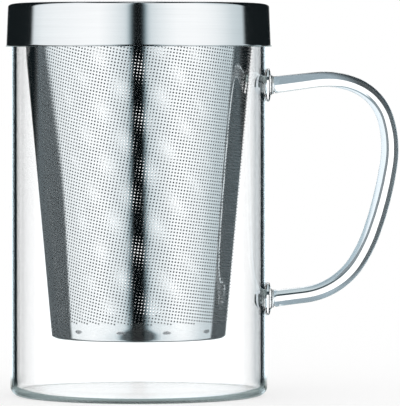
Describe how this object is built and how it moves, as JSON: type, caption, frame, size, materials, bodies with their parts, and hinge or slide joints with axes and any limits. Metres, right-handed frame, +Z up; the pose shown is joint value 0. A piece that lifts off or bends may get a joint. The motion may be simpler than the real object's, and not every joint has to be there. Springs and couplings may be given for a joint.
{
  "type": "glass infuser mug",
  "caption": "Tall clear glass tea mug with a fused glass rod handle, a tapered perforated steel infuser that hangs on its rim and a flat brushed steel lid that lifts off.",
  "frame": {"origin": "the middle of the glass's base, on the surface that the mug stands on", "axes": "+Z up along the mug's axis, +X from the axis to the handle, +Y to the left of the handle seen from the axis"},
  "size_m": [0.1223, 0.0832, 0.1219],
  "materials": {
    "glass": "clear and fire-polished",
    "infuser_steel": "satin, with a fine perforation",
    "plain_steel": "smooth satin",
    "lid_steel": "fine brush lines round the skirt and across the top",
    "silicone": "matt, slightly translucent white"
  },
  "bodies": {
    "mug": {"glass_body": "glass", "handle_rod": "glass", "upper_handle_pad": "glass", "lower_handle_pad": "glass"},
    "infuser": {"infuser_wall": "infuser_steel", "infuser_base": "infuser_steel", "infuser_collar": "plain_steel"},
    "lid": {"lid_cap": "lid_steel", "lid_liner": "plain_steel", "lid_seal": "silicone"}
  },
  "joints": [
    {"name": "infuser_lift", "type": "slide", "parent": "mug", "child": "infuser", "axis": [0, 0, 1], "range_m": [0, 0.125]},
    {"name": "lid_lift", "type": "slide", "parent": "infuser", "child": "lid", "axis": [0, 0, 1], "range_m": [0, 0.03]}
  ]
}
